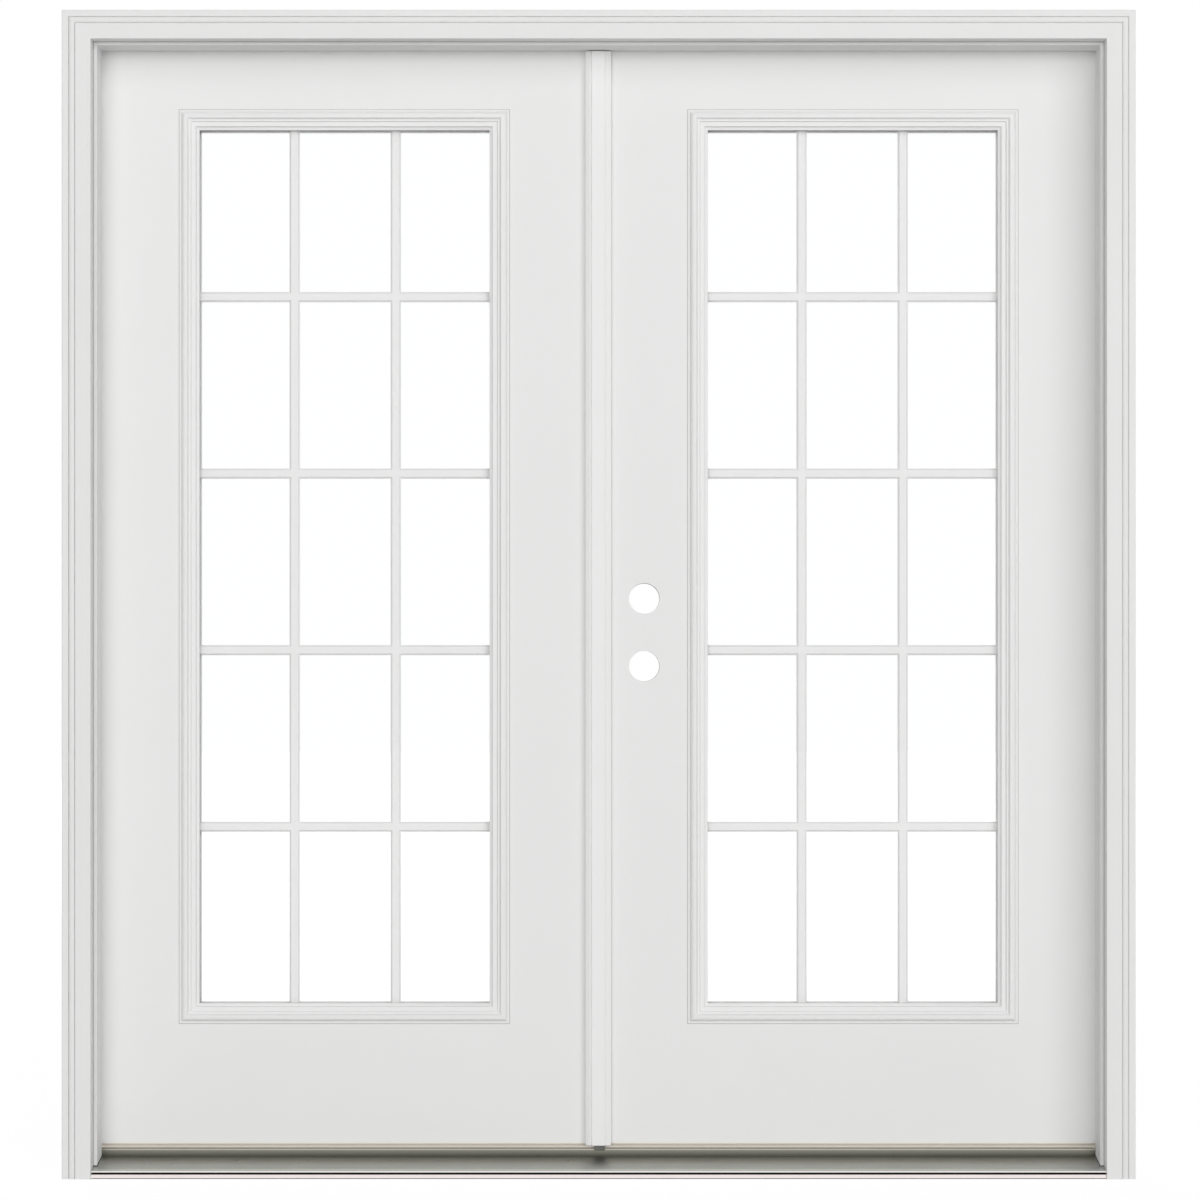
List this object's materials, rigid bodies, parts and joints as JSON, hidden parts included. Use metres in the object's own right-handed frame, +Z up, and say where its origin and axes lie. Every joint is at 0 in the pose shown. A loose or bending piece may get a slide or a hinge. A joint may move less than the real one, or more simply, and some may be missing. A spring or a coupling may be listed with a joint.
{
  "type": "double french door unit with frame",
  "caption": "Prehung inswing double patio door: primed frame with casing and aluminium sill, steel leaves with divided-lite glass, astragal and open lock bores.",
  "frame": {"origin": "on the underside of the sill, midway between the side jambs, in the plane of the jambs' outside face", "axes": "+X along the wall to the right seen from outdoors, +Y from outdoors into the room, +Z up"},
  "size_m": [1.872, 0.1602, 2.0385],
  "materials": {
    "primed_wood": "white primer, matte",
    "primed_steel": "white factory primer",
    "lite_frame_plastic": "moulded, satin",
    "grille_paint": "white, satin",
    "clear_glass": "polished",
    "mill_aluminium": "mill, semi-gloss",
    "spacer_aluminium": "rolled",
    "sill_composite": "extruded",
    "cap_composite": "extruded, matte",
    "dark_foam_rubber": "matte",
    "strip_vinyl": "soft, matte",
    "bare_wood": "planed",
    "rigid_foam": "cut foam",
    "screw_steel": "zinc plated",
    "hinge_steel": "satin nickel"
  },
  "bodies": {
    "frame": {"left_jamb": "primed_wood", "right_jamb": "primed_wood", "head_jamb": "primed_wood", "left_brickmould": "primed_wood", "right_brickmould": "primed_wood", "head_brickmould": "primed_wood", "sill_deck": "mill_aluminium", "sill_substrate": "sill_composite", "sill_cap": "cap_composite", "sill_cap_screws": "hinge_steel", "sill_gaskets": "dark_foam_rubber", "left_weatherstrip": "strip_vinyl", "right_weatherstrip": "strip_vinyl", "head_weatherstrip": "strip_vinyl", "corner_seal_pads": "dark_foam_rubber", "jamb_hinge_plates": "hinge_steel", "jamb_hinge_screws": "hinge_steel", "hinge_pins": "hinge_steel", "head_strike": "hinge_steel", "astragal_sill_pad": "dark_foam_rubber"},
    "active_leaf": {"active_outer_skin": "primed_steel", "active_inner_skin": "primed_steel", "active_hinge_stile": "bare_wood", "active_lock_stile": "bare_wood", "active_top_rail": "bare_wood", "active_bottom_rail": "bare_wood", "active_lock_block": "bare_wood", "active_core": "rigid_foam", "active_outer_lite_frame": "lite_frame_plastic", "active_inner_lite_frame": "lite_frame_plastic", "active_outer_pane": "clear_glass", "active_inner_pane": "clear_glass", "active_spacer": "spacer_aluminium", "active_grille": "grille_paint", "active_lite_screws": "screw_steel", "active_hinge_plates": "hinge_steel", "active_hinge_screws": "hinge_steel", "active_sweep": "cap_composite"},
    "inactive_leaf": {"inactive_outer_skin": "primed_steel", "inactive_inner_skin": "primed_steel", "inactive_hinge_stile": "bare_wood", "inactive_lock_stile": "bare_wood", "inactive_top_rail": "bare_wood", "inactive_bottom_rail": "bare_wood", "inactive_core": "rigid_foam", "inactive_outer_lite_frame": "lite_frame_plastic", "inactive_inner_lite_frame": "lite_frame_plastic", "inactive_outer_pane": "clear_glass", "inactive_inner_pane": "clear_glass", "inactive_spacer": "spacer_aluminium", "inactive_grille": "grille_paint", "inactive_lite_screws": "screw_steel", "inactive_hinge_plates": "hinge_steel", "inactive_hinge_screws": "hinge_steel", "inactive_sweep": "cap_composite", "astragal": "primed_wood", "astragal_weatherstrip": "strip_vinyl", "astragal_screws": "hinge_steel"},
    "top_bolt": {"top_flush_bolt": "hinge_steel"},
    "bottom_bolt": {"bottom_flush_bolt": "hinge_steel"}
  },
  "joints": [
    {"name": "active_leaf_swing", "type": "hinge", "parent": "frame", "child": "active_leaf", "pos_m": [0.88935, 0.1224, 1], "axis": [0, 0, -1], "range_deg": [0, 170]},
    {"name": "inactive_leaf_swing", "type": "hinge", "parent": "frame", "child": "inactive_leaf", "pos_m": [-0.88935, 0.1224, 1], "axis": [0, 0, 1], "range_deg": [0, 160]},
    {"name": "top_bolt_slide", "type": "slide", "parent": "inactive_leaf", "child": "top_bolt", "axis": [0, 0, 1], "range_m": [0, 0.019]},
    {"name": "bottom_bolt_slide", "type": "slide", "parent": "inactive_leaf", "child": "bottom_bolt", "axis": [0, 0, -1], "range_m": [0, 0.019]}
  ],
  "couplings": [
    {"joint": "inactive_leaf_swing", "follows": "active_leaf_swing", "ratio": 0.94}
  ]
}
